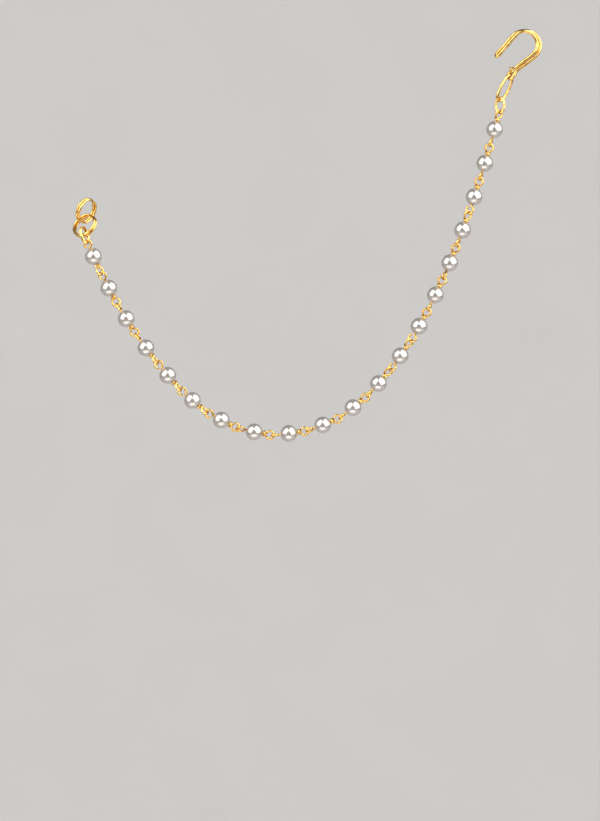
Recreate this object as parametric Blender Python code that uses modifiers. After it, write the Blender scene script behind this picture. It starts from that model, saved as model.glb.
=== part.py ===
"""An ear chain: twenty drilled pearls, wired loop to eye into a drooping chain that hangs from a wire hook.

Metres, +Z up, +X to the viewer's right and +Y away from the viewer. The origin is the top of the inside of the
hook's bend, where the chain hangs. Headings are degrees from +X towards +Z, in the plane that faces the viewer.
"""

from math import acos, asin, ceil, cos, degrees, pi, radians, sin

import bpy
import numpy as np
from mathutils import Vector

AWAY = Vector((0, 1, 0))
UP = Vector((0, 0, 1))

# Clearances
LINK_GAP = 0.00010  # between two wires that hang in each other
TURN_GAP = 0.00005  # between two turns of one wire
STRAND_GAP = 0.00006  # between the hook's two strands
PEARL_GAP = 0.00005  # between a pearl and the wire that rests on it

# Pearls
PEARL_COUNT = 20
PEARL_DIAMETER = 0.0040
PEARL_HOLE = 0.0008
PEARL_SIDES = 12
PEARL_BANDS = 7

# The wire through a pearl
BEAD_WIRE = 0.00047
LOOP_INSIDE = 0.00134
EYE_INSIDE = 0.00134
BEND_STEP = 28  # degrees between the points of a loop or an eye
LOOP_FOOT = 15  # degrees from the stem at which the loop's arc ends
EYE_FOOT = 20  # degrees from the stem at which the eye's arc starts
EYE_TURN = 300  # where the arc ends, and the tail starts to cross the stem
TAIL_TURN = 320
TAIL_LIFT = 0.32  # how far the tail has left the eye's plane there, in wire diameters
STEM_LEAN = 0.12  # how far the stem leans towards the eye's foot, as a share of the eye's radius
STEM_SHARES = (0.3, 0.9)  # the stem's two points, as shares of the neck
WRAP_START = 150
WRAP_DROP = 90  # degrees over which the tail comes down from the eye to the pearl
WRAP_TURN = 330  # degrees that the eye's tail goes round the stem
WRAP_STEP = 40

# Hook: one wire, doubled back at the tip, both strands side by side
HOOK_WIRE = 0.0008
HOOK_INSIDE_RADIUS = 0.00285
SHANK_LENGTH = 0.0052
SHANK_HEADING = 37.5
LEG_LENGTH = 0.0058
LEG_HEADING = 229
HOOK_STEP = 16
# How far the near strand lies towards the inside of the bend, from straight in front, by heading
STRAND_TURNS = ((SHANK_HEADING, 70), (90, 65), (180, 10), (LEG_HEADING, 38))
CUT_END_LENGTH = 0.0012
CUT_END_HEADING = 187
CURL_LEAD = 0.00138
CURL_HEADING = 240
CURL_STEP = 30

# Oval links, measured along and across the middle of the wire
HOOK_LINK_WIRE = 0.0007
HOOK_LINK_LENGTH = 0.00648
HOOK_LINK_WIDTH = 0.0028
HOOK_LINK_HEADING = 244
HOOK_LINK_ROLL = 46
HOOK_LINK_END_SHARE = 0.78
EYE_LINK_WIRE = 0.00056
EYE_LINK_LENGTH = 0.0035
EYE_LINK_WIDTH = 0.0022
EYE_LINK_HEADING = 270
EYE_LINK_ROLL = -32
RING_LINK_WIRE = 0.0007
RING_LINK_LENGTH = 0.0037
RING_LINK_WIDTH = 0.0023
RING_LINK_HEADING = 109
RING_LINK_ROLL = 52
OVAL_END_SHARE = 0.86  # a short oval's end radius, as a share of half its width
OVAL_STEP = 40

# Split rings, two turns of wire
RING_WIRE = 0.0006
RING_INSIDE_RADIUS = 0.0025
RING_STEPS = 16
RING_JOG = 45  # degrees over which the wire steps from one turn to the other
CHAIN_RING_SLACK = 0.0005  # how far the chain ring lies back in its link
CHAIN_RING_LONG_AXIS = 45
CHAIN_RING_TILT = 45
CHAIN_RING_SEAM = 45
EAR_RING_LONG_AXIS = 66
EAR_RING_TILT = -56
EAR_RING_SEAM = 20
EAR_RING_PULL = Vector((0.08, 0.15, 0.98)).normalized()  # the way it is drawn until it hangs in the chain ring

# The chain's route, from the last pearl's eye back to the first pearl's loop and a little past it: across and
# up, as shares of the chain's length
ROUTE = (
    (0.000, 0.000),
    (-0.029, -0.099),
    (-0.063, -0.196),
    (-0.104, -0.287),
    (-0.157, -0.370),
    (-0.229, -0.438),
    (-0.326, -0.462),
    (-0.416, -0.430),
    (-0.487, -0.359),
    (-0.543, -0.277),
    (-0.587, -0.187),
    (-0.612, -0.122),
)
ROUTE_SAMPLES = 60

# How far each pearl's loop and eye are turned about the chain from facing the viewer, right side away
ROLLS = (
    (-20, 40),
    (-25, 5),
    (68, 0),
    (75, 65),
    (0, 68),
    (0, 60),
    (-10, 5),
    (-58, 0),
    (85, 0),
    (67, -5),
    (80, 10),
    (75, 35),
    (-40, 40),
    (-20, 0),
    (80, 5),
    (-70, 0),
    (70, 30),
    (-32, -5),
    (72, 10),
    (75, 41),
)

# What follows from the sizes above
LOOP_RADIUS = (LOOP_INSIDE + BEAD_WIRE) / 2
EYE_RADIUS = (EYE_INSIDE + BEAD_WIRE) / 2
WIRE_REST = PEARL_DIAMETER / 2 + PEARL_GAP + BEAD_WIRE / 2
EYE_NECK = BEAD_WIRE + TURN_GAP
LOOP_REACH = WIRE_REST + 2 * LOOP_RADIUS
EYE_REACH = WIRE_REST + EYE_NECK + 2 * EYE_RADIUS
HALF_SEAT = (BEAD_WIRE + LINK_GAP) / 2
PITCH = LOOP_REACH + EYE_REACH - 2 * HALF_SEAT
STRAND_SPACING = HOOK_WIRE + STRAND_GAP
HOOK_RADIUS = HOOK_INSIDE_RADIUS + HOOK_WIRE / 2
RING_RADIUS = RING_INSIDE_RADIUS + RING_WIRE / 2


def heading_vector(heading):
    """The unit vector of a heading in the plane that faces the viewer."""
    return Vector((cos(radians(heading)), 0, sin(radians(heading))))


def across(along, roll):
    """The rightward direction square to the vector along, turned away from the viewer by roll degrees."""
    flat = Vector((-along.z, 0, along.x)).normalized()
    rightward = flat if flat.x > 0 else -flat
    return rightward * cos(radians(roll)) + AWAY * sin(radians(roll))


def on_circle(centre, first, second, radius, angle):
    """The point of a circle at an angle in degrees, counted from the direction first towards second."""
    return centre + first * (radius * cos(radians(angle))) + second * (radius * sin(radians(angle)))


def stops(start, end, step):
    """Angles from start to end in equal steps of about the given size."""
    return np.linspace(start, end, ceil(abs(end - start) / step) + 1)


def material(name, colour, metallic, roughness):
    """A plain Principled material."""
    made = bpy.data.materials.new(name)
    made.use_nodes = True
    shader = made.node_tree.nodes["Principled BSDF"]
    shader.inputs["Base Color"].default_value = (*colour, 1)
    shader.inputs["Metallic"].default_value = metallic
    shader.inputs["Roughness"].default_value = roughness
    made.diffuse_color = (*colour, 1)
    return made


def add_part(name, data, surface, rig):
    """Links one named piece into the collection, with its material, held by the chain's empty."""
    piece = bpy.data.objects.new(name, data)
    if not data.materials:
        data.materials.append(surface)
    rig.users_collection[0].objects.link(piece)
    piece.parent = rig
    return piece


def add_wire(name, points, diameter, surface, rig, closed=False, fineness=1):
    """A round wire through the given points, with flat cut ends unless it closes on itself."""
    curve = bpy.data.curves.new(name, "CURVE")
    curve.dimensions = "3D"
    curve.bevel_depth = diameter / 2
    curve.bevel_resolution = fineness
    curve.use_fill_caps = True
    spline = curve.splines.new("POLY")
    spline.points.add(len(points) - 1)
    for place, point in zip(spline.points, points):
        place.co = (*point, 1)
    spline.use_cyclic_u = closed
    spline.use_smooth = True
    return add_part(name, curve, surface, rig)


def pearl_mesh():
    """Half the outline of a drilled pearl, from the top of its hole down the outside and up the bore."""
    radius = PEARL_DIAMETER / 2
    rim = degrees(asin(PEARL_HOLE / PEARL_DIAMETER))
    angles = np.linspace(rim, 180 - rim, PEARL_BANDS + 1)
    outline = [on_circle(Vector(), UP, Vector((1, 0, 0)), radius, angle) for angle in angles]
    edges = [(i, (i + 1) % len(outline)) for i in range(len(outline))]
    mesh = bpy.data.meshes.new("pearl")
    mesh.from_pydata(outline, edges, [])
    return mesh


def add_pearl(name, mesh, centre, along, surface, rig):
    """A pearl turned about its hole, which lies along the chain."""
    pearl = add_part(name, mesh, surface, rig)
    pearl.location = centre
    pearl.rotation_mode = "QUATERNION"
    pearl.rotation_quaternion = UP.rotation_difference(along)
    turned = pearl.modifiers.new("Turned", "SCREW")
    turned.axis = "Z"
    turned.steps = PEARL_SIDES
    turned.render_steps = PEARL_SIDES
    turned.use_merge_vertices = True
    turned.merge_threshold = 0.00001
    turned.use_smooth_shade = True


def loop_points(centre, along, side):
    """The plain loop at the pearl's near end, from its cut tip round to the stem inside the pearl."""
    middle = centre - along * (WIRE_REST + LOOP_RADIUS)
    tip = 360 - degrees(asin((BEAD_WIRE + TURN_GAP) / LOOP_RADIUS))
    points = [on_circle(middle, along, side, LOOP_RADIUS, angle) for angle in stops(tip, LOOP_FOOT, BEND_STEP)]
    points.append(centre - along * (WIRE_REST - BEAD_WIRE / 2))
    return points


def eye_points(centre, along, side):
    """The stem beyond the pearl, the eye, and the tail that wraps the stem and ends cut."""
    middle = centre + along * (WIRE_REST + EYE_NECK + EYE_RADIUS)
    beside = along.cross(side)
    low, high = STEM_SHARES
    points = [
        centre + along * (WIRE_REST + EYE_NECK * low),
        centre + along * (WIRE_REST + EYE_NECK * high) + side * (EYE_RADIUS * STEM_LEAN),
    ]
    turns = stops(EYE_FOOT, EYE_TURN, BEND_STEP)
    points += [on_circle(middle, -along, side, EYE_RADIUS, angle) for angle in turns]
    points.append(on_circle(middle, -along, side, EYE_RADIUS, TAIL_TURN) + beside * (BEAD_WIRE * TAIL_LIFT))
    wrap_radius = (BEAD_WIRE + TURN_GAP) / cos(radians(WRAP_STEP / 2))
    for turned in stops(0, WRAP_TURN, WRAP_STEP):
        height = WIRE_REST + (EYE_NECK + TURN_GAP) * max(0, 1 - turned / WRAP_DROP)
        points.append(on_circle(centre + along * height, side, beside, wrap_radius, WRAP_START - turned))
    return points


def oval_points(start, along, length, width, roll, end_share=OVAL_END_SHARE):
    """The middle of an oval link's wire, from one end point over to the other and back."""
    side = across(along, roll)
    end_radius = width / 2 * end_share
    straight = length - 2 * end_radius
    points = []
    for middle, forward, sideways in (
        (start + along * (length - end_radius), along, side),
        (start + along * end_radius, -along, -side),
    ):
        points += [
            on_circle(middle, forward, sideways, end_radius, angle)
            for angle in stops(-2 * OVAL_STEP, 2 * OVAL_STEP, OVAL_STEP)
        ]
        for share in (0.25, 0.5, 0.75):
            out = end_radius + (width / 2 - end_radius) * sin(pi * share)
            points.append(middle - forward * (straight * share) + sideways * out)
    return points


def ring_normal(long_axis, tilt):
    """The axis of a ring seen as an ellipse whose long axis has this heading, tilted by tilt degrees."""
    return -AWAY * cos(radians(tilt)) + heading_vector(long_axis + 90) * sin(radians(tilt))


def split_ring_points(centre, long_axis, tilt, seam):
    """Two flat turns of wire side by side, with a short step from one to the other at the seam."""
    normal = ring_normal(long_axis, tilt)
    first = heading_vector(long_axis)
    second = normal.cross(first)
    half_step = (RING_WIRE + TURN_GAP) / 2
    points = []
    for angle in stops(0, 720 - RING_JOG, 360 / RING_STEPS):
        stepped = min(max((angle - 360 + RING_JOG) / RING_JOG, 0), 1)
        layer = centre + normal * (half_step * (2 * stepped - 1))
        points.append(on_circle(layer, first, second, RING_RADIUS, angle + seam))
    return points


def finely(points):
    """The same line with seven more points in each of its stretches."""
    ends = np.array(points)
    shares = np.linspace(0, 1, 8, endpoint=False)[:, None]
    return np.concatenate([a + (b - a) * shares for a, b in zip(ends[:-1], ends[1:])] + [ends[-1:]])


def pulled_tight(moving, fixed, direction, apart):
    """How far one wire line can be pulled in a direction until it lies the given distance from another."""
    moving, fixed, direction = finely(moving), finely(fixed), np.array(direction)

    def clear(distance):
        between = (moving + direction * distance)[:, None] - fixed[None]
        return np.linalg.norm(between, axis=2).min() > apart

    step = apart / 4
    distance = 0.0
    while step > apart / 500:
        if clear(distance + step):
            distance += step
        else:
            step /= 2
    return distance


def hook_line():
    """Points of the line between the hook's two strands, with the heading at each."""
    bend_centre = -UP * HOOK_INSIDE_RADIUS
    bend = [
        (bend_centre + heading_vector(heading - 90) * HOOK_RADIUS, heading)
        for heading in stops(SHANK_HEADING, LEG_HEADING, HOOK_STEP)
    ]
    shank_start = bend[0][0] - heading_vector(SHANK_HEADING) * SHANK_LENGTH
    leg_end = bend[-1][0] + heading_vector(LEG_HEADING) * LEG_LENGTH
    shank_middle = (shank_start + bend[0][0]) / 2
    leg_middle = (leg_end + bend[-1][0]) / 2
    shank = [(shank_start, SHANK_HEADING), (shank_middle, SHANK_HEADING)]
    return shank + bend + [(leg_middle, LEG_HEADING), (leg_end, LEG_HEADING)]


def strand_offset(heading):
    """From the line between the strands to the near strand."""
    turn = radians(np.interp(heading, *zip(*STRAND_TURNS)))
    return (heading_vector(heading + 90) * sin(turn) - AWAY * cos(turn)) * (STRAND_SPACING / 2)


def hook_points(link_side):
    """The hook's one wire, from its cut end over the bend to the tip, back, and curled round the link's top.

    Returns the points and the middle of the curl, where the link's top lies. link_side is the direction in which
    the link's wire passes through the curl.
    """
    line = hook_line()
    near = [point + strand_offset(heading) for point, heading in line]
    far = [point - strand_offset(heading) for point, heading in line]
    tip, tip_heading = line[-1]
    forward = heading_vector(tip_heading)
    aside = strand_offset(tip_heading).normalized()
    fold = [on_circle(tip, aside, forward, STRAND_SPACING / 2, angle) for angle in (45, 90, 135)]

    cut_end = near[0] + heading_vector(CUT_END_HEADING) * CUT_END_LENGTH
    lead = heading_vector(CURL_HEADING)
    curl_start = far[0] + lead * CURL_LEAD
    inwards = link_side.cross(lead).normalized()
    radius = (HOOK_WIRE + HOOK_LINK_WIRE) / 2 + LINK_GAP
    middle = curl_start + inwards * radius
    sweep = 360 - degrees(acos(1 - (HOOK_WIRE + STRAND_GAP) / radius))
    curl = [on_circle(middle, -inwards, lead, radius, angle) for angle in stops(0, sweep, CURL_STEP)]
    return [cut_end, *near, *fold, *reversed(far), *curl], middle


def route_curve(start, length):
    """Many points along a smooth curve through the chain's route."""
    chosen = [start + Vector((x, 0, z)) * length for x, z in ROUTE]
    guides = [2 * chosen[0] - chosen[1], *chosen, 2 * chosen[-1] - chosen[-2]]
    points = []
    for a, b, c, d in zip(guides, guides[1:], guides[2:], guides[3:]):
        for t in np.linspace(0, 1, ROUTE_SAMPLES, endpoint=False):
            bend = (2 * a - 5 * b + 4 * c - d) * t**2 + (3 * (b - c) + d - a) * t**3
            points.append(b + ((c - a) * t + bend) / 2)
    return points


def joints_along(seat):
    """The meeting points of the chain's pearls, first pearl first, on a route that starts at the last eye's end."""
    curve = route_curve(seat, PEARL_COUNT * PITCH)
    joints = [seat]
    reach = PITCH + HALF_SEAT
    for point in curve:
        if len(joints) <= PEARL_COUNT and (point - joints[-1]).length >= reach:
            joints.append(joints[-1] + (point - joints[-1]).normalized() * reach)
            reach = PITCH
    joints[0] = seat - (seat - joints[1]).normalized() * HALF_SEAT
    return joints[::-1]


def clear_scene():
    """Removes whatever the scene starts with."""
    for piece in list(bpy.data.objects):
        bpy.data.objects.remove(piece, do_unlink=True)


def build_pearls(joints, rig):
    """The wired pearls between the joints."""
    shell = material("Pearl shell", (0.86, 0.86, 0.83), 0, 0.1)
    gold = material("Bead wire gold", (0.93, 0.68, 0.26), 1, 0.15)
    mesh = pearl_mesh()
    for index, (loop_roll, eye_roll) in enumerate(ROLLS):
        number = f"{index + 1:02d}"
        along = (joints[index + 1] - joints[index]).normalized()
        centre = joints[index] + along * (LOOP_REACH - HALF_SEAT)
        add_pearl(f"pearl_{number}", mesh, centre, along, shell, rig)
        points = loop_points(centre, along, across(along, loop_roll))
        points += eye_points(centre, along, across(along, eye_roll))
        add_wire(f"bead_wire_{number}", points, BEAD_WIRE, gold, rig)


def build_hook_end(rig):
    """The hook and the two links under it. Returns where the last pearl's eye ends."""
    link_down = heading_vector(HOOK_LINK_HEADING)
    points, hook_link_top = hook_points(across(link_down, HOOK_LINK_ROLL))
    hook_gold = material("Hook gold", (0.95, 0.71, 0.30), 1, 0.12)
    link_gold = material("Link gold", (0.94, 0.69, 0.27), 1, 0.14)
    add_wire("ear_hook", points, HOOK_WIRE, hook_gold, rig, fineness=2)

    sizes = (HOOK_LINK_LENGTH, HOOK_LINK_WIDTH, HOOK_LINK_ROLL, HOOK_LINK_END_SHARE)
    oval = oval_points(hook_link_top, link_down, *sizes)
    add_wire("hook_link", oval, HOOK_LINK_WIRE, link_gold, rig, closed=True)
    hook_link_end = hook_link_top + link_down * HOOK_LINK_LENGTH

    eye_link_down = heading_vector(EYE_LINK_HEADING)
    eye_link_top = hook_link_end - link_down * ((HOOK_LINK_WIRE + EYE_LINK_WIRE) / 2 + LINK_GAP)
    oval = oval_points(eye_link_top, eye_link_down, EYE_LINK_LENGTH, EYE_LINK_WIDTH, EYE_LINK_ROLL)
    add_wire("eye_link", oval, EYE_LINK_WIRE, link_gold, rig, closed=True)
    seat_drop = EYE_LINK_LENGTH - (EYE_LINK_WIRE + BEAD_WIRE) / 2 - LINK_GAP
    return eye_link_top + eye_link_down * seat_drop


def build_ring_end(first_joint, along, rig):
    """The link and the two split rings at the first pearl's end."""
    gold = material("Ring gold", (0.95, 0.72, 0.31), 1, 0.13)
    link_up = heading_vector(RING_LINK_HEADING)
    link_start = first_joint + along * ((BEAD_WIRE + RING_LINK_WIRE) / 2 + LINK_GAP - HALF_SEAT)
    oval = oval_points(link_start, link_up, RING_LINK_LENGTH, RING_LINK_WIDTH, RING_LINK_ROLL)
    add_wire("ring_link", oval, RING_LINK_WIRE, gold, rig, closed=True)

    normal = ring_normal(CHAIN_RING_LONG_AXIS, CHAIN_RING_TILT)
    to_link = -(link_up - normal * link_up.dot(normal)).normalized()
    lower = (CHAIN_RING_LONG_AXIS, CHAIN_RING_TILT, CHAIN_RING_SEAM)
    centre = link_start + link_up * (RING_LINK_LENGTH / 2) - to_link * RING_RADIUS
    free = split_ring_points(centre, *lower)
    pull = pulled_tight(free, oval + oval[:1], link_up, (RING_WIRE + RING_LINK_WIRE) / 2 + LINK_GAP)
    centre += link_up * (pull - CHAIN_RING_SLACK)
    chain_ring = split_ring_points(centre, *lower)
    add_wire("chain_ring", chain_ring, RING_WIRE, gold, rig)

    upper = (EAR_RING_LONG_AXIS, EAR_RING_TILT, EAR_RING_SEAM)
    centre += EAR_RING_PULL * RING_RADIUS
    free = split_ring_points(centre, *upper)
    centre += EAR_RING_PULL * pulled_tight(free, chain_ring, EAR_RING_PULL, RING_WIRE + LINK_GAP)
    add_wire("ear_ring", split_ring_points(centre, *upper), RING_WIRE, gold, rig)


def main():
    """Builds the ear chain from its hook along the pearls to the ring end."""
    clear_scene()
    collection = bpy.data.collections.new("Ear chain")
    bpy.context.scene.collection.children.link(collection)
    rig = bpy.data.objects.new("ear_chain", None)
    collection.objects.link(rig)
    joints = joints_along(build_hook_end(rig))
    build_pearls(joints, rig)
    build_ring_end(joints[0], (joints[1] - joints[0]).normalized(), rig)


main()
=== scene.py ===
"""Dresses the ear chain: glass pearls wired loop to eye, a doubled wire hook, oval links and two split rings.

Every wire is drawn again, round and smooth, through the same points as its solid, and every pearl is
turned again with a soft lip at its hole. Metres, +Z up, +X to the viewer's right and +Y away from the
viewer. The origin is the top of the inside of the hook's bend. Headings are degrees from +X towards +Z, in
the plane that faces the viewer.
"""

import logging
from abc import ABC, abstractmethod
from dataclasses import dataclass, field
from enum import Enum
from math import acos, asin, ceil, cos, degrees, pi, radians, sin
from typing import Any, Sequence

import bmesh
import bpy
import numpy as np
from mathutils import Matrix, Vector

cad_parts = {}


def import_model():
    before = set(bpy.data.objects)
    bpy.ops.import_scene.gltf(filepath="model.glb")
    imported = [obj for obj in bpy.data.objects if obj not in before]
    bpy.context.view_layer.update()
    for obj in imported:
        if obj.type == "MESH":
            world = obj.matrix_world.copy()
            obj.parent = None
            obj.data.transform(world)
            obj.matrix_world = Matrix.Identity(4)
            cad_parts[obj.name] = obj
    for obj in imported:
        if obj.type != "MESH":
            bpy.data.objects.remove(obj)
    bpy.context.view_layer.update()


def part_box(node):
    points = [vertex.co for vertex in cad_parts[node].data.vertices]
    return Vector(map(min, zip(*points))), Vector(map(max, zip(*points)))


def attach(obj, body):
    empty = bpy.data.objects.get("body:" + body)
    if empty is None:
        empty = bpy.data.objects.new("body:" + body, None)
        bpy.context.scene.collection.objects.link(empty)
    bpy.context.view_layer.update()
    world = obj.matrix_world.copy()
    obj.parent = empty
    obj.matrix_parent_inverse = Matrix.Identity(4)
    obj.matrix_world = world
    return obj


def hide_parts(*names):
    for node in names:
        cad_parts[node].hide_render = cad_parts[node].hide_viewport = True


LOG = logging.getLogger("ear_chain")
AWAY = Vector((0, 1, 0))
UP = Vector((0, 0, 1))
MM = 0.001
CURVE_SAMPLES = 16  # close points on each stretch of a smooth line, before they are spaced evenly


class Slot(Enum):
    """The finishes that a piece can take, by their names in the record."""

    GLAZE = "pearl_glaze"
    WIRE = "gold_wire"
    FINDINGS = "gold_findings"


class Tip(Enum):
    """How a wire ends, with the share of its radius that the finishing rounds off."""

    SHEARED = 0.24
    BUTTED = 0.16


@dataclass(frozen=True)
class Gaps:
    """The clearances between touching pieces."""

    link: float = 0.10 * MM
    turn: float = 0.05 * MM
    strand: float = 0.06 * MM
    pearl: float = 0.05 * MM
    butt: float = 0.02 * MM


GAPS = Gaps()


def heading_vector(heading: float) -> Vector:
    """Gives the unit vector of a heading in the plane that faces the viewer."""
    return Vector((cos(radians(heading)), 0, sin(radians(heading))))


def across(along: Vector, roll: float) -> Vector:
    """Gives the rightward direction square to a line.

    Args:
        along: The line's direction.
        roll: Degrees by which the right side is turned away from the viewer.

    Returns:
        The unit vector.
    """
    flat = Vector((-along.z, 0, along.x)).normalized()
    rightward = flat if flat.x > 0 else -flat
    return rightward * cos(radians(roll)) + AWAY * sin(radians(roll))


def on_circle(centre: Vector, first: Vector, second: Vector, radius: float, angle: float) -> Vector:
    """Gives a point of a circle.

    Args:
        centre: The circle's middle.
        first: The direction of angle 0.
        second: The direction of angle 90.
        radius: The circle's radius.
        angle: Degrees from first towards second.

    Returns:
        The point.
    """
    return centre + first * (radius * cos(radians(angle))) + second * (radius * sin(radians(angle)))


def stops(start: float, end: float, step: float) -> np.ndarray:
    """Divides a sweep into equal steps.

    Args:
        start: The first angle.
        end: The last angle.
        step: About how many degrees each step has.

    Returns:
        The angles, both ends included.
    """
    return np.linspace(start, end, ceil(abs(end - start) / step) + 1)


def smooth_line(points: Sequence[Vector], spacing: float, closed: bool = False) -> np.ndarray:
    """Draws a centripetal Catmull-Rom curve, which doesn't overshoot where long and short stretches meet.

    Args:
        points: The points that the curve goes through.
        spacing: About how far apart its stations are.
        closed: Whether it comes back to its first point, but for the gap of a butt joint.

    Returns:
        The stations, one in each row.
    """
    chosen = np.array([tuple(point) for point in points])
    if closed:
        guides = np.concatenate([chosen[-1:], chosen, chosen[:2]])
    else:
        guides = np.concatenate([2 * chosen[:1] - chosen[1:2], chosen, 2 * chosen[-1:] - chosen[-2:-1]])
    share = np.linspace(0, 1, CURVE_SAMPLES, endpoint=False)[:, None]
    stretches = []
    for a, b, c, d in zip(guides, guides[1:], guides[2:], guides[3:]):
        before, here, after = (np.sqrt(np.linalg.norm(q - p)) for p, q in ((a, b), (b, c), (c, d)))
        leave = (c - b) + here * ((b - a) / before - (c - a) / (before + here))
        arrive = (c - b) + here * ((d - c) / after - (d - b) / (here + after))
        cubic = 2 * (b - c) + leave + arrive
        square = 3 * (c - b) - 2 * leave - arrive
        stretches.append(((cubic * share + square) * share + leave) * share + b)
    line = np.concatenate([*stretches, guides[-2:-1]])
    reach = np.concatenate([[0], np.cumsum(np.linalg.norm(np.diff(line, axis=0), axis=1))])
    joint = GAPS.butt / 2 if closed else 0
    stations = np.linspace(joint, reach[-1] - joint, ceil(reach[-1] / spacing) + 1)
    return np.column_stack([np.interp(stations, reach, line[:, axis]) for axis in range(3)])


def linear(colour: str) -> tuple[float, float, float, float]:
    """Turns an sRGB hex colour into the linear one that shaders take."""
    shares = [int(colour[i : i + 2], 16) / 255 for i in (0, 2, 4)]
    channels = [s / 12.92 if s <= 0.04045 else ((s + 0.055) / 1.055) ** 2.4 for s in shares]
    return (*channels, 1.0)


def add_node(
    tree: bpy.types.NodeTree, kind: str, inputs: dict[str | int, Any], **settings: Any
) -> bpy.types.Node:
    """Adds a shader node.

    Args:
        tree: The material's or world's nodes.
        kind: The node's type.
        inputs: A value, or the socket that it comes from, for each input by name or number.
        **settings: The node's other properties.

    Returns:
        The node.
    """
    node = tree.nodes.new(kind)
    for name, value in settings.items():
        setattr(node, name, value)
    for socket, value in inputs.items():
        if isinstance(value, bpy.types.NodeSocket):
            tree.links.new(value, node.inputs[socket])
        else:
            node.inputs[socket].default_value = value
    return node


class Finish(ABC):
    """A surface, as it was made."""

    @abstractmethod
    def material(self) -> bpy.types.Material:
        """Makes the finish's material."""

    def new_material(self, name: str) -> tuple[bpy.types.Material, bpy.types.NodeTree, bpy.types.Node]:
        """Starts a material.

        Args:
            name: What the real material is.

        Returns:
            The material, its nodes and its Principled shader.
        """
        made = bpy.data.materials.new(name)
        made.use_nodes = True
        return made, made.node_tree, made.node_tree.nodes["Principled BSDF"]


@dataclass(frozen=True)
class PearlGlaze(Finish):
    """Glass beads dipped in pearl essence and lacquered.

    The essence's fine platelets lie flat, so the bead mirrors its surroundings softly in silver, and the
    clear lacquer over it adds a small sharp reflection on top.
    """

    silver: str = "B5B2B0"
    cream: str = "B3ABA1"
    rim: str = "776F67"
    metallic: float = 0.8
    satin: float = 0.24
    satin_spread: float = 0.15
    cloud_mm: float = 1.6
    ripple_mm: float = 0.35
    ripple_depth: float = 0.004 * MM
    ripple_strength: float = 0.35
    lacquer: float = 0.04
    radius_mm: float = 2.0
    rim_start: float = 0.955  # how far up the bead the coating starts to thin towards the hole, in radii
    rim_end: float = 0.985

    def material(self) -> bpy.types.Material:
        """Makes the pearl's material from the bead's own place attribute, whose unit is the bead's radius."""
        made, tree, shader = self.new_material("Dipped glass pearl")
        place = add_node(tree, "ShaderNodeAttribute", {}, attribute_name="pearl_place")
        own = add_node(tree, "ShaderNodeAttribute", {}, attribute_name="pearl_number")
        shifted = add_node(
            tree,
            "ShaderNodeVectorMath",
            {0: place.outputs["Vector"], 1: own.outputs["Vector"]},
            operation="ADD",
        )
        cloud = add_node(
            tree,
            "ShaderNodeTexNoise",
            {"Vector": shifted.outputs[0], "Scale": self.radius_mm / self.cloud_mm, "Detail": 2.0},
        )
        body = add_node(
            tree,
            "ShaderNodeMix",
            {0: cloud.outputs["Fac"], 6: linear(self.silver), 7: linear(self.cream)},
            data_type="RGBA",
        )
        apart = add_node(tree, "ShaderNodeSeparateXYZ", {"Vector": place.outputs["Vector"]})
        height = add_node(tree, "ShaderNodeMath", {0: apart.outputs["Z"]}, operation="ABSOLUTE")
        near_hole = add_node(
            tree,
            "ShaderNodeMapRange",
            {"Value": height.outputs[0], "From Min": self.rim_start, "From Max": self.rim_end},
        )
        colour = add_node(
            tree,
            "ShaderNodeMix",
            {0: near_hole.outputs[0], 6: body.outputs[2], 7: linear(self.rim)},
            data_type="RGBA",
        )
        satin = add_node(
            tree,
            "ShaderNodeMapRange",
            {
                "Value": cloud.outputs["Fac"],
                "To Min": self.satin * (1 - self.satin_spread),
                "To Max": self.satin * (1 + self.satin_spread),
            },
        )
        ripple = add_node(
            tree,
            "ShaderNodeTexNoise",
            {"Vector": shifted.outputs[0], "Scale": self.radius_mm / self.ripple_mm, "Detail": 1.0},
        )
        relief = add_node(
            tree,
            "ShaderNodeBump",
            {
                "Height": ripple.outputs["Fac"],
                "Strength": self.ripple_strength,
                "Distance": self.ripple_depth,
            },
        )
        tree.links.new(colour.outputs[2], shader.inputs["Base Color"])
        tree.links.new(satin.outputs[0], shader.inputs["Roughness"])
        tree.links.new(relief.outputs[0], shader.inputs["Normal"])
        shader.inputs["Metallic"].default_value = self.metallic
        shader.inputs["Coat Weight"].default_value = 1.0
        shader.inputs["Coat Roughness"].default_value = self.lacquer
        shader.inputs["Coat IOR"].default_value = 1.5
        return made


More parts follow.
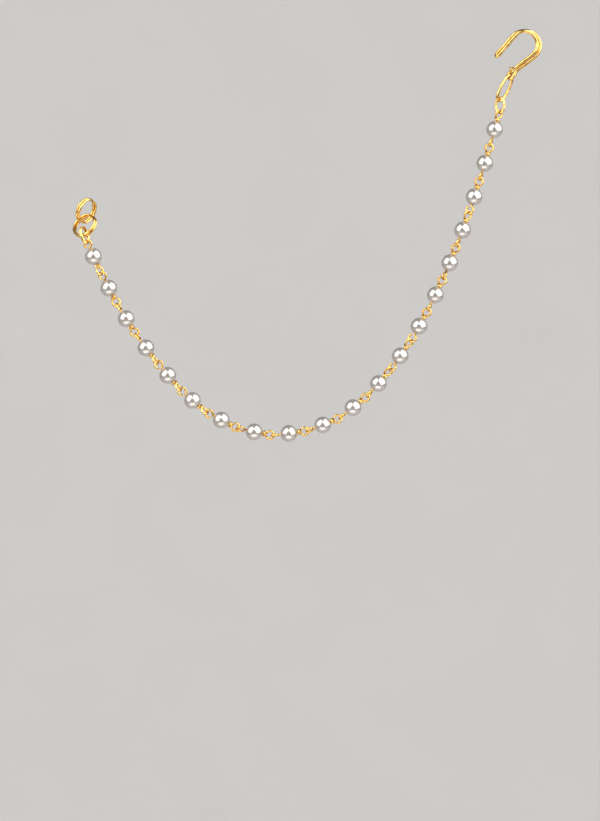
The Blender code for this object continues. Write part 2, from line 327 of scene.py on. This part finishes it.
@dataclass(frozen=True)
class GoldPlate(Finish):
    """Gold-plated brass wire, drawn through a die and tumbled bright.

    The die leaves faint lines along the wire, the pliers leave small dents, and the plate is warmer where it
    is thin, so long highlights break up slightly instead of running like chrome.
    """

    name: str
    plate: str
    thin: str
    polish: float
    wire_mm: float
    line_mm: float = 0.06  # the die's lines are finer than this, and are drawn coarser so that they show
    line_length_mm: float = 1.5
    line_depth: float = 0.003 * MM
    line_strength: float = 0.4
    dent_mm: float = 0.5
    dent_depth: float = 0.02 * MM
    dent_strength: float = 0.3
    patch_mm: float = 1.2
    patch_range: tuple[float, float] = (0.45, 0.7)
    dull_range: tuple[float, float] = (0.7, 1.4)

    def material(self) -> bpy.types.Material:
        """Makes the gold from the wire's own place attribute: round the wire, and metres along it."""
        made, tree, shader = self.new_material(self.name)
        place = add_node(tree, "ShaderNodeAttribute", {}, attribute_name="wire_place")
        radius_mm = self.wire_mm / 2
        round_scale = radius_mm / self.line_mm
        lengthwise = add_node(
            tree,
            "ShaderNodeVectorMath",
            {0: place.outputs["Vector"], 1: (round_scale, round_scale, 1 / (self.line_length_mm * MM))},
            operation="MULTIPLY",
        )
        in_mm = add_node(
            tree,
            "ShaderNodeVectorMath",
            {0: place.outputs["Vector"], 1: (radius_mm, radius_mm, 1 / MM)},
            operation="MULTIPLY",
        )
        lines = add_node(
            tree, "ShaderNodeTexNoise", {"Vector": lengthwise.outputs[0], "Scale": 1.0, "Detail": 2.0}
        )
        dents = add_node(
            tree,
            "ShaderNodeTexNoise",
            {"Vector": in_mm.outputs[0], "Scale": 1 / self.dent_mm, "Detail": 1.0},
        )
        patches = add_node(
            tree,
            "ShaderNodeTexNoise",
            {"Vector": in_mm.outputs[0], "Scale": 1 / self.patch_mm, "Detail": 3.0},
        )
        thick, thin = self.patch_range
        worn = add_node(
            tree, "ShaderNodeMapRange", {"Value": patches.outputs["Fac"], "From Min": thick, "From Max": thin}
        )
        colour = add_node(
            tree,
            "ShaderNodeMix",
            {0: worn.outputs[0], 6: linear(self.plate), 7: linear(self.thin)},
            data_type="RGBA",
        )
        bright, dull = self.dull_range
        rough = add_node(
            tree,
            "ShaderNodeMapRange",
            {"Value": lines.outputs["Fac"], "To Min": self.polish * bright, "To Max": self.polish * dull},
        )
        dented = add_node(
            tree,
            "ShaderNodeBump",
            {"Height": dents.outputs["Fac"], "Strength": self.dent_strength, "Distance": self.dent_depth},
        )
        lined = add_node(
            tree,
            "ShaderNodeBump",
            {
                "Height": lines.outputs["Fac"],
                "Strength": self.line_strength,
                "Distance": self.line_depth,
                "Normal": dented.outputs[0],
            },
        )
        tree.links.new(colour.outputs[2], shader.inputs["Base Color"])
        tree.links.new(rough.outputs[0], shader.inputs["Roughness"])
        tree.links.new(lined.outputs[0], shader.inputs["Normal"])
        shader.inputs["Metallic"].default_value = 1.0
        return made


@dataclass(frozen=True)
class StudioPaper(Finish):
    """Matt seamless paper: pale under the lamps, with no gloss and only a faint mottle of its fibres."""

    light: str = "B9B7B5"
    dark: str = "B4B2B0"
    mottle: float = 0.05
    tooth: float = 0.95

    def material(self) -> bpy.types.Material:
        """Makes the paper's material on the stage's own coordinates."""
        made, tree, shader = self.new_material("Seamless paper")
        place = add_node(tree, "ShaderNodeTexCoord", {})
        fibres = add_node(
            tree, "ShaderNodeTexNoise", {"Vector": place.outputs["Object"], "Scale": 1 / self.mottle}
        )
        colour = add_node(
            tree,
            "ShaderNodeMix",
            {0: fibres.outputs["Fac"], 6: linear(self.light), 7: linear(self.dark)},
            data_type="RGBA",
        )
        tree.links.new(colour.outputs[2], shader.inputs["Base Color"])
        shader.inputs["Roughness"].default_value = self.tooth
        return made


@dataclass
class Wire:
    """A length of round wire, bent along a line."""

    diameter: float
    points: list[Vector]
    tip: Tip = Tip.SHEARED
    sides: int = 16
    spacing: float = 0.11 * MM

    def build(self) -> bmesh.types.BMesh:
        """Extrudes the wire's round section station by station and finishes its cut ends.

        Returns:
            The mesh, in which each point also holds its place round the wire and along it.
        """
        line = smooth_line(self.points, self.spacing, self.tip is Tip.BUTTED)
        headings = [Vector(step).normalized() for step in np.gradient(line, axis=0)]
        stations = [Vector(station) for station in line]
        mesh = bmesh.new()
        place = mesh.verts.layers.float_vector.new("wire_place")
        bmesh.ops.create_circle(mesh, cap_ends=True, radius=self.diameter / 2, segments=self.sides)
        for vert in mesh.verts:
            vert[place] = vert.co / (self.diameter / 2)
        first_rim = list(mesh.edges)
        start = Matrix.Translation(stations[0]) @ UP.rotation_difference(headings[0]).to_matrix().to_4x4()
        bmesh.ops.transform(mesh, matrix=start, verts=mesh.verts)
        rim = first_rim
        reach = 0.0
        for index in range(1, len(stations)):
            grown = bmesh.ops.extrude_edge_only(mesh, edges=rim)["geom"]
            verts = [piece for piece in grown if isinstance(piece, bmesh.types.BMVert)]
            rim = [piece for piece in grown if isinstance(piece, bmesh.types.BMEdge)]
            turn = headings[index - 1].rotation_difference(headings[index]).to_matrix().to_4x4()
            back = Matrix.Translation(-stations[index - 1])
            bmesh.ops.transform(mesh, matrix=Matrix.Translation(stations[index]) @ turn @ back, verts=verts)
            reach += (stations[index] - stations[index - 1]).length
            for vert in verts:
                vert[place].z = reach
        bmesh.ops.edgeloop_fill(mesh, edges=rim)
        bmesh.ops.bevel(
            mesh,
            geom=first_rim + rim,
            offset=self.diameter / 2 * self.tip.value,
            offset_type="OFFSET",
            segments=3,
            profile=0.5,
            affect="EDGES",
            material=-1,
        )
        bmesh.ops.recalc_face_normals(mesh, faces=mesh.faces)
        return mesh


@dataclass
class Pearl:
    """A drilled round bead whose coating runs over the hole's lip."""

    diameter: float = 4.0 * MM
    hole: float = 0.8 * MM
    lip: float = 0.07 * MM
    sides: int = 48
    bands: int = 26
    cloud_step: Vector = field(default_factory=lambda: Vector((7.1, 3.7, 5.3)))

    def build(self, centre: Vector, along: Vector, number: int) -> bmesh.types.BMesh:
        """Turns the bead's outline about its hole.

        Args:
            centre: The bead's middle.
            along: The direction of its hole.
            number: The bead's number, which shifts the clouds in its coating.

        Returns:
            The mesh, in which each point also holds its place in the bead, in radii.
        """
        radius = self.diameter / 2
        mesh = bmesh.new()
        place = mesh.verts.layers.float_vector.new("pearl_place")
        own = mesh.verts.layers.float_vector.new("pearl_number")
        rim = degrees(asin(self.hole / self.diameter))
        outline = [
            mesh.verts.new(on_circle(Vector(), UP, Vector((1, 0, 0)), radius, angle))
            for angle in np.linspace(rim, 180 - rim, self.bands + 1)
        ]
        edges = [mesh.edges.new(pair) for pair in zip(outline, outline[1:] + outline[:1])]
        bmesh.ops.spin(
            mesh,
            geom=outline + edges,
            cent=(0, 0, 0),
            axis=(0, 0, 1),
            angle=2 * pi,
            steps=self.sides,
            use_merge=True,
        )
        bmesh.ops.remove_doubles(mesh, verts=mesh.verts, dist=0.0001 * MM)
        lips = [
            edge
            for edge in mesh.edges
            if all(vert.co.xy.length < self.hole / 2 * 1.01 for vert in edge.verts)
            and abs(edge.verts[0].co.z - edge.verts[1].co.z) < self.lip
        ]
        bmesh.ops.bevel(
            mesh,
            geom=lips,
            offset=self.lip,
            offset_type="OFFSET",
            segments=4,
            profile=0.5,
            affect="EDGES",
            material=-1,
        )
        bmesh.ops.recalc_face_normals(mesh, faces=mesh.faces)
        for vert in mesh.verts:
            vert[place] = vert.co / radius
            vert[own] = self.cloud_step * number
        turned = Matrix.Translation(centre) @ UP.rotation_difference(along).to_matrix().to_4x4()
        bmesh.ops.transform(mesh, matrix=turned, verts=mesh.verts)
        return mesh


@dataclass
class SubAssembly(ABC):
    """Pieces that are made up together, each one standing for the solid of its node."""

    pieces: dict[str, bpy.types.Object] = field(default_factory=dict, init=False)

    @abstractmethod
    def build(self) -> None:
        """Makes the meshes."""

    @abstractmethod
    def slot_of(self, node: str) -> Slot:
        """Says which finish a node's piece takes."""

    def add(self, node: str, mesh: bmesh.types.BMesh) -> None:
        """Keeps a finished mesh as the piece of a node.

        Args:
            node: The node that the piece stands for.
            mesh: Its mesh, which is used up.
        """
        data = bpy.data.meshes.new(f"finished_{node}")
        mesh.to_mesh(data)
        mesh.free()
        data.shade_smooth()
        piece = bpy.data.objects.new(f"finished_{node}", data)
        bpy.context.scene.collection.objects.link(piece)
        self.pieces[node] = piece

    def dress(self, materials: dict[Slot, bpy.types.Material]) -> None:
        """Gives each piece its finish and its body, and hides the solid of the node that it stands for.

        Args:
            materials: The material of each finish.
        """
        for node, piece in self.pieces.items():
            slot = self.slot_of(node)
            piece.data.materials.append(materials[slot])
            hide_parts(node)
            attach(piece, "root")
            faces = len(piece.data.polygons)
            LOG.info("%s: %d faces, %.3f mm from its solid's box", node, faces, astray(piece, node))


def astray(piece: bpy.types.Object, node: str) -> float:
    """Compares a piece's box with its node's.

    Args:
        piece: The finished piece.
        node: The node that it stands for.

    Returns:
        The largest difference between the boxes' sides, in millimetres.
    """
    places = np.array([tuple(vert.co) for vert in piece.data.vertices])
    low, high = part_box(node)
    return float(np.abs([places.min(0) - low, places.max(0) - high]).max() / MM)


@dataclass
class WiredPearl:
    """A pearl on its wire, with a plain loop at one end and a wrapped eye at the other."""

    pearl: Pearl = field(default_factory=Pearl)
    wire: float = 0.47 * MM
    loop_inside: float = 1.34 * MM
    eye_inside: float = 1.34 * MM
    bend_step: float = 28
    loop_foot: float = 15
    eye_foot: float = 20
    eye_turn: float = 300
    tail_turn: float = 320
    tail_lift: float = 0.32
    stem_lean: float = 0.12
    stem_shares: tuple[float, float] = (0.3, 0.9)
    wrap_start: float = 150
    wrap_drop: float = 90
    wrap_turn: float = 330
    wrap_step: float = 40

    def __post_init__(self) -> None:
        """Works out the sizes that follow from the wire's and the pearl's."""
        self.loop_radius = (self.loop_inside + self.wire) / 2
        self.eye_radius = (self.eye_inside + self.wire) / 2
        self.rest = self.pearl.diameter / 2 + GAPS.pearl + self.wire / 2
        self.neck = self.wire + GAPS.turn
        self.half_seat = (self.wire + GAPS.link) / 2
        self.loop_reach = self.rest + 2 * self.loop_radius
        self.eye_reach = self.rest + self.neck + 2 * self.eye_radius
        self.pitch = self.loop_reach + self.eye_reach - 2 * self.half_seat

    def loop(self, centre: Vector, along: Vector, side: Vector) -> list[Vector]:
        """Bends the plain loop, from its cut tip round to the stem inside the pearl.

        Args:
            centre: The pearl's middle.
            along: The direction from the loop to the eye.
            side: The direction in the loop's plane, square to along.

        Returns:
            The points of the wire's middle.
        """
        middle = centre - along * (self.rest + self.loop_radius)
        tip = 360 - degrees(asin((self.wire + GAPS.turn) / self.loop_radius))
        turns = stops(tip, self.loop_foot, self.bend_step)
        arc = [on_circle(middle, along, side, self.loop_radius, turn) for turn in turns]
        return [*arc, centre - along * (self.rest - self.wire / 2)]

    def eye(self, centre: Vector, along: Vector, side: Vector) -> list[Vector]:
        """Bends the eye and the tail that wraps its stem.

        Args:
            centre: The pearl's middle.
            along: The direction from the loop to the eye.
            side: The direction in the eye's plane, square to along.

        Returns:
            The points of the wire's middle.
        """
        middle = centre + along * (self.rest + self.neck + self.eye_radius)
        beside = along.cross(side)
        low, high = self.stem_shares
        stem_low = centre + along * (self.rest + self.neck * low)
        lean = side * (self.eye_radius * self.stem_lean)
        stem_high = centre + along * (self.rest + self.neck * high) + lean
        turns = stops(self.eye_foot, self.eye_turn, self.bend_step)
        arc = [on_circle(middle, -along, side, self.eye_radius, turn) for turn in turns]
        tail = on_circle(middle, -along, side, self.eye_radius, self.tail_turn)
        leaving = tail + beside * (self.wire * self.tail_lift)
        wrap_radius = (self.wire + GAPS.turn) / cos(radians(self.wrap_step / 2))
        wrap = []
        for turned in stops(0, self.wrap_turn, self.wrap_step):
            height = self.rest + (self.neck + GAPS.turn) * max(0, 1 - turned / self.wrap_drop)
            level = centre + along * height
            wrap.append(on_circle(level, side, beside, wrap_radius, self.wrap_start - turned))
        return [stem_low, stem_high, *arc, leaving, *wrap]

    def bend(self, centre: Vector, along: Vector, loop_roll: float, eye_roll: float) -> Wire:
        """Bends the whole wire.

        Args:
            centre: The pearl's middle.
            along: The direction from the loop to the eye.
            loop_roll: How far the loop is turned from facing the viewer, in degrees.
            eye_roll: How far the eye is.

        Returns:
            The wire.
        """
        loop = self.loop(centre, along, across(along, loop_roll))
        return Wire(self.wire, loop + self.eye(centre, along, across(along, eye_roll)))


@dataclass
class PearlChain(SubAssembly):
    """Twenty wired pearls along the chain's route, each eye in the next pearl's loop."""

    last_seat: Vector
    maker: WiredPearl = field(default_factory=WiredPearl)
    samples: int = 60
    # The route from the last pearl's eye back to the first pearl's loop: across and up, in chain lengths
    route: tuple[tuple[float, float], ...] = (
        (0.000, 0.000),
        (-0.029, -0.099),
        (-0.063, -0.196),
        (-0.104, -0.287),
        (-0.157, -0.370),
        (-0.229, -0.438),
        (-0.326, -0.462),
        (-0.416, -0.430),
        (-0.487, -0.359),
        (-0.543, -0.277),
        (-0.587, -0.187),
        (-0.612, -0.122),
    )
    # How far each pearl's loop and eye are turned about the chain from facing the viewer
    rolls: tuple[tuple[float, float], ...] = (
        (-20, 40),
        (-25, 5),
        (68, 0),
        (75, 65),
        (0, 68),
        (0, 60),
        (-10, 5),
        (-58, 0),
        (85, 0),
        (67, -5),
        (80, 10),
        (75, 35),
        (-40, 40),
        (-20, 0),
        (80, 5),
        (-70, 0),
        (70, 30),
        (-32, -5),
        (72, 10),
        (75, 41),
    )

    def curve(self) -> list[Vector]:
        """Draws the route as many close points of a Catmull-Rom curve."""
        length = len(self.rolls) * self.maker.pitch
        chosen = [self.last_seat + Vector((x, 0, z)) * length for x, z in self.route]
        guides = [2 * chosen[0] - chosen[1], *chosen, 2 * chosen[-1] - chosen[-2]]
        points = []
        for a, b, c, d in zip(guides, guides[1:], guides[2:], guides[3:]):
            for t in np.linspace(0, 1, self.samples, endpoint=False):
                bend = (2 * a - 5 * b + 4 * c - d) * t**2 + (3 * (b - c) + d - a) * t**3
                points.append(b + ((c - a) * t + bend) / 2)
        return points

    def joints(self) -> list[Vector]:
        """Steps along the route from meeting point to meeting point.

        Returns:
            The meeting points, first pearl first.
        """
        half_seat = self.maker.half_seat
        joints = [self.last_seat]
        reach = self.maker.pitch + half_seat
        for point in self.curve():
            if len(joints) <= len(self.rolls) and (point - joints[-1]).length >= reach:
                joints.append(joints[-1] + (point - joints[-1]).normalized() * reach)
                reach = self.maker.pitch
        joints[0] = self.last_seat - (self.last_seat - joints[1]).normalized() * half_seat
        return joints[::-1]

    def build(self) -> None:
        """Strings the pearls on their wires."""
        joints = self.joints()
        for index, (loop_roll, eye_roll) in enumerate(self.rolls):
            number = index + 1
            along = (joints[index + 1] - joints[index]).normalized()
            centre = joints[index] + along * (self.maker.loop_reach - self.maker.half_seat)
            self.add(f"pearl_{number:02d}", self.maker.pearl.build(centre, along, number))
            self.add(f"bead_wire_{number:02d}", self.maker.bend(centre, along, loop_roll, eye_roll).build())

    def slot_of(self, node: str) -> Slot:
        """Tells the glazed pearls from their wires."""
        return Slot.GLAZE if node.startswith("pearl") else Slot.WIRE


@dataclass
class OvalLink:
    """An oval link of round wire, whose cut ends meet at the middle of one side."""

    start: Vector
    wire: float
    length: float
    width: float
    heading: float
    roll: float
    end_share: float = 0.86
    arc_step: float = 40
    sides: int = 18

    def along(self) -> Vector:
        """Gives the direction from the link's start to its other end."""
        return heading_vector(self.heading)

    def points(self) -> list[Vector]:
        """Bends the oval, from the middle of one long side round to the same place.

        Returns:
            The points of the wire's middle.
        """
        along = self.along()
        side = across(along, self.roll)
        end_radius = self.width / 2 * self.end_share
        straight = self.length - 2 * end_radius
        points = []
        for middle, forward, sideways in (
            (self.start + along * (self.length - end_radius), along, side),
            (self.start + along * end_radius, -along, -side),
        ):
            turns = stops(-2 * self.arc_step, 2 * self.arc_step, self.arc_step)
            points += [on_circle(middle, forward, sideways, end_radius, turn) for turn in turns]
            for share in (0.25, 0.5, 0.75):
                out = end_radius + (self.width / 2 - end_radius) * sin(pi * share)
                points.append(middle - forward * (straight * share) + sideways * out)
        seam = len(points) // 2 - 2
        return points[seam:] + points[:seam]

    def build(self) -> bmesh.types.BMesh:
        """Makes the link's mesh."""
        return Wire(self.wire, self.points(), Tip.BUTTED, self.sides).build()


@dataclass
class EarHook:
    """A hook of one wire, doubled back at its tip, whose far end curls round the link below."""

    wire: float = 0.8 * MM
    inside_radius: float = 2.85 * MM
    shank_length: float = 5.2 * MM
    shank_heading: float = 37.5
    leg_length: float = 5.8 * MM
    leg_heading: float = 229
    step: float = 16
    # How far the near strand lies towards the inside of the bend, from straight in front, by heading
    strand_turns: tuple[tuple[float, float], ...] = ((37.5, 70), (90, 65), (180, 10), (229, 38))
    cut_end_length: float = 1.2 * MM
    cut_end_heading: float = 187
    curl_lead: float = 1.38 * MM
    curl_heading: float = 240
    curl_step: float = 30
    fold_turns: tuple[float, ...] = (45, 90, 135)
    sides: int = 20

    def line(self) -> list[tuple[Vector, float]]:
        """Gives the line between the two strands, each point with its heading."""
        radius = self.inside_radius + self.wire / 2
        bend_centre = -UP * self.inside_radius
        bend = [
            (bend_centre + heading_vector(heading - 90) * radius, heading)
            for heading in stops(self.shank_heading, self.leg_heading, self.step)
        ]
        shank_start = bend[0][0] - heading_vector(self.shank_heading) * self.shank_length
        leg_end = bend[-1][0] + heading_vector(self.leg_heading) * self.leg_length
        shank = [(point, self.shank_heading) for point in (shank_start, (shank_start + bend[0][0]) / 2)]
        leg = [(point, self.leg_heading) for point in ((leg_end + bend[-1][0]) / 2, leg_end)]
        return shank + bend + leg

    def strand_offset(self, heading: float) -> Vector:
        """Gives the way from the line between the strands to the near strand."""
        turn = radians(np.interp(heading, *zip(*self.strand_turns)))
        return (heading_vector(heading + 90) * sin(turn) - AWAY * cos(turn)) * ((self.wire + GAPS.strand) / 2)

    def points(self, link_side: Vector, link_wire: float) -> tuple[list[Vector], Vector]:
        """Bends the hook from its cut end over the bend to the tip, back, and round the link's top.

        Args:
            link_side: The direction in which the link's wire passes through the curl.
            link_wire: The diameter of that wire.

        Returns:
            The points of the wire's middle, and the middle of the curl.
        """
        line = self.line()
        near = [point + self.strand_offset(heading) for point, heading in line]
        far = [point - self.strand_offset(heading) for point, heading in line]
        tip, tip_heading = line[-1]
        aside = self.strand_offset(tip_heading)
        fold = [
            on_circle(tip, aside.normalized(), heading_vector(tip_heading), aside.length, turn)
            for turn in self.fold_turns
        ]
        cut_end = near[0] + heading_vector(self.cut_end_heading) * self.cut_end_length
        lead = heading_vector(self.curl_heading)
        inwards = link_side.cross(lead).normalized()
        radius = (self.wire + link_wire) / 2 + GAPS.link
        middle = far[0] + lead * self.curl_lead + inwards * radius
        sweep = 360 - degrees(acos(1 - (self.wire + GAPS.strand) / radius))
        curl = [on_circle(middle, -inwards, lead, radius, turn) for turn in stops(0, sweep, self.curl_step)]
        return [cut_end, *near, *fold, *reversed(far), *curl], middle


@dataclass
class HookEnd(SubAssembly):
    """The hook and the two oval links that hang below it."""

    hook: EarHook = field(default_factory=EarHook)
    bead_wire: float = 0.47 * MM

    def __post_init__(self) -> None:
        """Hangs the long link in the hook's curl and the short link in the long one."""
        self.hook_link = OvalLink(Vector(), 0.7 * MM, 6.48 * MM, 2.8 * MM, 244, 46, end_share=0.78)
        link_side = across(self.hook_link.along(), self.hook_link.roll)
        self.hook_points, self.hook_link.start = self.hook.points(link_side, self.hook_link.wire)
        self.eye_link = OvalLink(Vector(), 0.56 * MM, 3.5 * MM, 2.2 * MM, 270, -32)
        drop = self.hook_link.length - (self.hook_link.wire + self.eye_link.wire) / 2 - GAPS.link
        self.eye_link.start = self.hook_link.start + self.hook_link.along() * drop

    def last_seat(self) -> Vector:
        """Gives the place where the last pearl's eye ends, in the short link."""
        drop = self.eye_link.length - (self.eye_link.wire + self.bead_wire) / 2 - GAPS.link
        return self.eye_link.start + self.eye_link.along() * drop

    def build(self) -> None:
        """Bends the hook and the links."""
        self.add("ear_hook", Wire(self.hook.wire, self.hook_points, sides=self.hook.sides).build())
        self.add("hook_link", self.hook_link.build())
        self.add("eye_link", self.eye_link.build())

    def slot_of(self, node: str) -> Slot:
        """Says that all are findings."""
        return Slot.FINDINGS


@dataclass
class SplitRing:
    """Two flat turns of wire side by side, with a short step from one to the other at the seam."""

    long_axis: float
    tilt: float
    seam: float
    wire: float = 0.6 * MM
    inside_radius: float = 2.5 * MM
    steps: int = 16
    jog: float = 45
    sides: int = 18

    def points(self) -> list[Vector]:
        """Bends the ring round the origin.

        Returns:
            The points of the wire's middle.
        """
        tilt = radians(self.tilt)
        normal = heading_vector(self.long_axis + 90) * sin(tilt) - AWAY * cos(tilt)
        first = heading_vector(self.long_axis)
        second = normal.cross(first)
        radius = self.inside_radius + self.wire / 2
        points = []
        for turn in stops(0, 720 - self.jog, 360 / self.steps):
            stepped = min(max((turn - 360 + self.jog) / self.jog, 0), 1)
            layer = normal * ((self.wire + GAPS.turn) / 2 * (2 * stepped - 1))
            points.append(on_circle(layer, first, second, radius, turn + self.seam))
        return points

    def build(self, node: str) -> bmesh.types.BMesh:
        """Bends the ring in the middle of its node's box.

        Args:
            node: The ring's node.

        Returns:
            The mesh.
        """
        low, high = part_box(node)
        points = self.points()
        middle = Vector((np.max(points, axis=0) + np.min(points, axis=0)) / 2)
        centre = (low + high) / 2 - middle
        return Wire(self.wire, [point + centre for point in points], sides=self.sides).build()


@dataclass
class RingEnd(SubAssembly):
    """The oval link in the first pearl's loop, and the two split rings above it."""

    first_joint: Vector
    along: Vector
    bead: WiredPearl
    chain_ring: SplitRing = field(default_factory=lambda: SplitRing(long_axis=45, tilt=45, seam=45))
    ear_ring: SplitRing = field(default_factory=lambda: SplitRing(long_axis=66, tilt=-56, seam=20))

    def build(self) -> None:
        """Bends the link and coils the rings."""
        link = OvalLink(Vector(), 0.7 * MM, 3.7 * MM, 2.3 * MM, 109, 52)
        seat = (self.bead.wire + link.wire) / 2 + GAPS.link - self.bead.half_seat
        link.start = self.first_joint + self.along * seat
        self.add("ring_link", link.build())
        self.add("chain_ring", self.chain_ring.build("chain_ring"))
        self.add("ear_ring", self.ear_ring.build("ear_ring"))

    def slot_of(self, node: str) -> Slot:
        """Says that all are findings."""
        return Slot.FINDINGS


@dataclass(frozen=True)
class Softbox:
    """A large soft lamp, which faces the chain unless it has an aim of its own."""

    name: str
    bearing: tuple[float, float, float]
    distance: float
    width: float
    height: float
    radiance: float
    roll: float = 0
    aim: tuple[float, float, float] | None = None

    def place(self, centre: Vector) -> None:
        """Hangs the lamp.

        Args:
            centre: The middle of the chain.
        """
        bearing = Vector(self.bearing).normalized()
        lamp = bpy.data.lights.new(self.name, "AREA")
        lamp.shape = "RECTANGLE"
        lamp.size = self.width
        lamp.size_y = self.height
        lamp.energy = self.radiance * pi * self.width * self.height
        stand = bpy.data.objects.new(self.name, lamp)
        place = centre + bearing * self.distance
        facing = (place - Vector(self.aim or centre)).to_track_quat("Z", "Y").to_matrix().to_4x4()
        stand.matrix_world = Matrix.Translation(place) @ facing @ Matrix.Rotation(radians(self.roll), 4, "Z")
        stand.visible_camera = False
        stand.visible_glossy = self.aim is None  # a lamp for the paper alone leaves no highlight on the metal
        bpy.context.scene.collection.objects.link(stand)


@dataclass
class Studio:
    """A round paper sweep, soft lamps and a long lens that faces the chain squarely."""

    photo_size: tuple[int, int] = (600, 821)
    pixel: float = 0.2312 * MM
    seat_pixel: tuple[float, float] = (524.5, 33.0)  # where the origin lies in the photo
    camera_distance: float = 0.9
    chain_depth: float = 0.71 * MM
    sensor: float = 36.0
    floor: float = -0.6
    radius: float = 1.7
    cove: float = 0.9
    wall_top: float = 1.3
    sweep_sides: int = 96
    sweep_step: float = 6
    room_colour: str = "E8ECF2"
    room_strength: float = 0.25
    centre: Vector = field(default_factory=lambda: Vector((-0.05, 0, -0.045)))
    lamps: tuple[Softbox, ...] = (
        Softbox("left_softbox", (-0.66, -0.60, 0.41), 0.8, 0.74, 1.15, radiance=3.5, roll=-22),
        Softbox("right_softbox", (0.76, -0.50, 0.45), 0.8, 1.25, 1.3, radiance=3.6, roll=22),
        Softbox("low_bounce", (-0.05, -0.52, -0.85), 0.34, 0.34, 0.2, radiance=1.5),
        Softbox("rear_wash", (0, -0.05, 1.0), 1.2, 1.6, 0.5, radiance=9, aim=(-0.05, 1.7, 0.2)),
        Softbox("front_wash", (0, 0.05, 1.0), 1.2, 1.6, 0.5, radiance=4.5, aim=(-0.05, -1.7, 0.2)),
    )

    def build_sweep(self) -> None:
        mesh = bmesh.new()
        middle = Vector((self.radius - self.cove, 0, self.floor + self.cove))
        turns = stops(0, 90, self.sweep_step)
        arc = [on_circle(middle, -UP, Vector((1, 0, 0)), self.cove, turn) for turn in turns]
        profile = [Vector((0, 0, self.floor)), *arc, Vector((self.radius, 0, self.wall_top))]
        verts = [mesh.verts.new(point) for point in profile]
        edges = [mesh.edges.new(pair) for pair in zip(verts, verts[1:])]
        bmesh.ops.spin(
            mesh,
            geom=verts + edges,
            cent=(0, 0, 0),
            axis=(0, 0, 1),
            angle=2 * pi,
            steps=self.sweep_sides,
            use_merge=True,
        )
        bmesh.ops.remove_doubles(mesh, verts=mesh.verts, dist=0.01 * MM)
        data = bpy.data.meshes.new("paper_sweep")
        mesh.to_mesh(data)
        mesh.free()
        data.shade_smooth()
        data.materials.append(StudioPaper().material())
        sweep = bpy.data.objects.new("paper_sweep", data)
        bpy.context.scene.collection.objects.link(sweep)

    def build_lights(self) -> None:
        """Hangs the lamps and sets the room's dim light."""
        for lamp in self.lamps:
            lamp.place(self.centre)
        room = bpy.data.worlds.new("Dim room")
        room.use_nodes = True
        glow = room.node_tree.nodes["Background"]
        glow.inputs["Color"].default_value = linear(self.room_colour)
        glow.inputs["Strength"].default_value = self.room_strength
        bpy.context.scene.world = room

    def build_camera(self) -> None:
        """Sets the camera square to the chain, with the photo's frame at the chain's depth."""
        width, height = self.photo_size
        across_frame = (width / 2 - self.seat_pixel[0]) * self.pixel
        up_frame = (self.seat_pixel[1] - height / 2) * self.pixel
        lens = bpy.data.cameras.new("camera")
        lens.sensor_width = self.sensor
        lens.lens = self.sensor * self.camera_distance / (height * self.pixel)
        camera = bpy.data.objects.new("camera", lens)
        camera.location = (across_frame, self.chain_depth - self.camera_distance, up_frame)
        camera.rotation_euler = (radians(90), 0, 0)
        bpy.context.scene.collection.objects.link(camera)
        bpy.context.scene.camera = camera

    def build(self) -> None:
        """Builds the whole studio."""
        self.build_sweep()
        self.build_lights()
        self.build_camera()
        bpy.context.scene.view_settings.view_transform = "Standard"


def main() -> None:
    """Builds and dresses the chain, from the hook down the pearls and up to the rings."""
    logging.basicConfig(level=logging.INFO, format="%(name)s: %(message)s")
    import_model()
    materials = {
        Slot.GLAZE: PearlGlaze().material(),
        Slot.WIRE: GoldPlate("Gold-plated drawn wire", "E2B968", "B87F30", 0.14, 0.47).material(),
        Slot.FINDINGS: GoldPlate("Gold-plated brass findings", "E6BF72", "C08C3A", 0.13, 0.7).material(),
    }
    hook_end = HookEnd()
    chain = PearlChain(hook_end.last_seat())
    joints = chain.joints()
    ring_end = RingEnd(joints[0], (joints[1] - joints[0]).normalized(), chain.maker)
    for part in (hook_end, chain, ring_end):
        part.build()
        part.dress(materials)
    Studio().build()


if __name__ == "__main__":
    main()
